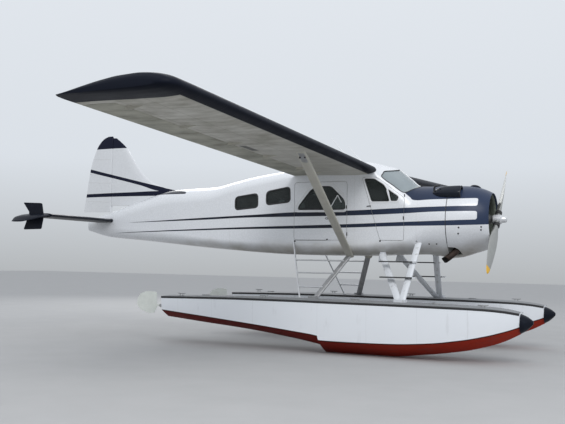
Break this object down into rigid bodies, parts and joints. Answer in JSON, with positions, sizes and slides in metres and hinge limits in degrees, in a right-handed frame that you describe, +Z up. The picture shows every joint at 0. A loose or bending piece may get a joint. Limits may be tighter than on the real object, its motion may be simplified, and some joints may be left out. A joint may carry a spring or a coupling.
{
  "type": "single-engined high-wing floatplane",
  "caption": "Single-engined high-wing utility aircraft on twin floats, with opening doors, turning propeller, moving control surfaces and raised water rudders.",
  "frame": {"origin": "centre of the aircraft's bounding box at the ground under the float keels", "axes": "+X forward to the nose, +Y to port (left wing), +Z up"},
  "size_m": [9.922, 14.6258, 4.238],
  "materials": {
    "white_paint": "gloss",
    "white_paint_steel": "gloss",
    "navy_paint": "gloss",
    "bare_metal": "satin",
    "control_surface": "satin",
    "strut_grey": "satin",
    "float_paint": "gloss",
    "engine": "satin",
    "rusty_steel": "matte",
    "propeller": "satin",
    "black_plastic": "matte",
    "glass": "gloss",
    "seat_cloth": "matte",
    "bumper_rubber": "matte",
    "cabin_fittings": "matte"
  },
  "bodies": {
    "root": {"cabin_floor": "white_paint", "cabin_side_left": "white_paint", "cabin_side_right": "white_paint", "cabin_roof": "white_paint", "rear_fuselage": "white_paint", "vertical_fin": "white_paint", "front_float_strut_left": "white_paint", "front_float_strut_right": "white_paint", "nose_section": "white_paint_steel", "engine_cowling": "white_paint_steel", "tailplane": "navy_paint", "finlet_left": "navy_paint", "finlet_right": "navy_paint", "wing_left": "bare_metal", "wing_right": "bare_metal", "spreader_bar_front": "bare_metal", "spreader_bar_rear": "bare_metal", "boarding_ladder_left": "bare_metal", "boarding_ladder_right": "bare_metal", "wing_strut_left": "strut_grey", "wing_strut_right": "strut_grey", "rear_float_strut_left": "strut_grey", "rear_float_strut_right": "strut_grey", "float_left": "float_paint", "float_right": "float_paint", "radial_engine": "engine", "exhaust_pipe": "rusty_steel", "air_scoop": "black_plastic", "instrument_panel": "black_plastic", "windshield": "glass", "side_glass_left": "glass", "side_glass_right": "glass", "pilot_seat": "seat_cloth", "copilot_seat": "seat_cloth", "passenger_bench": "seat_cloth", "rear_bench": "seat_cloth", "bow_bumper_left": "bumper_rubber", "bow_bumper_right": "bumper_rubber", "control_column": "cabin_fittings"},
    "propeller": {"propeller": "propeller"},
    "rudder": {"rudder": "white_paint"},
    "elevator": {"elevator": "control_surface"},
    "aileron_left": {"aileron_left": "control_surface"},
    "flap_left": {"flap_left": "control_surface"},
    "crew_door_left": {"crew_door_left": "white_paint", "crew_door_glass_left": "glass"},
    "cabin_door_left": {"cabin_door_left": "white_paint", "cabin_door_glass_left": "glass"},
    "water_rudder_post_left": {"water_rudder_post_left": "bare_metal"},
    "water_rudder_blade_left": {"water_rudder_blade_left": "white_paint"},
    "aileron_right": {"aileron_right": "control_surface"},
    "flap_right": {"flap_right": "control_surface"},
    "crew_door_right": {"crew_door_right": "white_paint", "crew_door_glass_right": "glass"},
    "cabin_door_right": {"cabin_door_right": "white_paint", "cabin_door_glass_right": "glass"},
    "water_rudder_post_right": {"water_rudder_post_right": "bare_metal"},
    "water_rudder_blade_right": {"water_rudder_blade_right": "white_paint"}
  },
  "joints": [
    {"name": "propeller_spin", "type": "hinge", "parent": "root", "child": "propeller", "pos_m": [4.18, 0, 2.345], "axis": [1, 0, 0], "continuous": true},
    {"name": "rudder_turn", "type": "hinge", "parent": "root", "child": "rudder", "pos_m": [-4.205, 0, 3.3], "axis": [0, 0, 1], "range_deg": [-25, 25]},
    {"name": "elevator_turn", "type": "hinge", "parent": "root", "child": "elevator", "pos_m": [-4.42, 0, 2.36], "axis": [0, 1, 0], "range_deg": [-18, 28]},
    {"name": "aileron_left_turn", "type": "hinge", "parent": "root", "child": "aileron_left", "pos_m": [0.97994, 5.25302, 3.37793], "axis": [0, 0.9994, 0.034], "range_deg": [-20, 20]},
    {"name": "aileron_right_turn", "type": "hinge", "parent": "root", "child": "aileron_right", "pos_m": [0.97994, -5.25302, 3.37793], "axis": [0, 0.9994, -0.034], "range_deg": [-20, 20]},
    {"name": "flap_left_turn", "type": "hinge", "parent": "root", "child": "flap_left", "pos_m": [0.97994, 2.19379, 3.27378], "axis": [0, -0.9994, -0.034], "range_deg": [0, 58]},
    {"name": "flap_right_turn", "type": "hinge", "parent": "root", "child": "flap_right", "pos_m": [0.97994, -2.19379, 3.27378], "axis": [0, -0.9994, 0.034], "range_deg": [0, 58]},
    {"name": "crew_door_left_swing", "type": "hinge", "parent": "root", "child": "crew_door_left", "pos_m": [2.68, 0.655, 2.4], "axis": [0, 0, -1], "range_deg": [0, 80]},
    {"name": "crew_door_right_swing", "type": "hinge", "parent": "root", "child": "crew_door_right", "pos_m": [2.68, -0.655, 2.4], "axis": [0, 0, 1], "range_deg": [0, 80]},
    {"name": "cabin_door_left_swing", "type": "hinge", "parent": "root", "child": "cabin_door_left", "pos_m": [1.605, 0.655, 2.45], "axis": [0, 0, -1], "range_deg": [0, 75]},
    {"name": "cabin_door_right_swing", "type": "hinge", "parent": "root", "child": "cabin_door_right", "pos_m": [1.605, -0.655, 2.45], "axis": [0, 0, 1], "range_deg": [0, 75]},
    {"name": "water_rudder_left_steer", "type": "hinge", "parent": "root", "child": "water_rudder_post_left", "pos_m": [-1.79, 1.37, 0.66], "axis": [0, 0, 1], "range_deg": [-30, 30]},
    {"name": "water_rudder_right_steer", "type": "hinge", "parent": "root", "child": "water_rudder_post_right", "pos_m": [-1.79, -1.37, 0.66], "axis": [0, 0, 1], "range_deg": [-30, 30]},
    {"name": "water_rudder_left_lower", "type": "hinge", "parent": "water_rudder_post_left", "child": "water_rudder_blade_left", "pos_m": [-1.905, 1.37, 0.66], "axis": [0, -1, 0], "range_deg": [0, 80]},
    {"name": "water_rudder_right_lower", "type": "hinge", "parent": "water_rudder_post_right", "child": "water_rudder_blade_right", "pos_m": [-1.905, -1.37, 0.66], "axis": [0, -1, 0], "range_deg": [0, 80]}
  ],
  "couplings": [
    {"joint": "aileron_right_turn", "follows": "aileron_left_turn", "ratio": -1},
    {"joint": "flap_right_turn", "follows": "flap_left_turn", "ratio": 1},
    {"joint": "water_rudder_right_steer", "follows": "water_rudder_left_steer", "ratio": 1},
    {"joint": "water_rudder_right_lower", "follows": "water_rudder_left_lower", "ratio": 1}
  ]
}
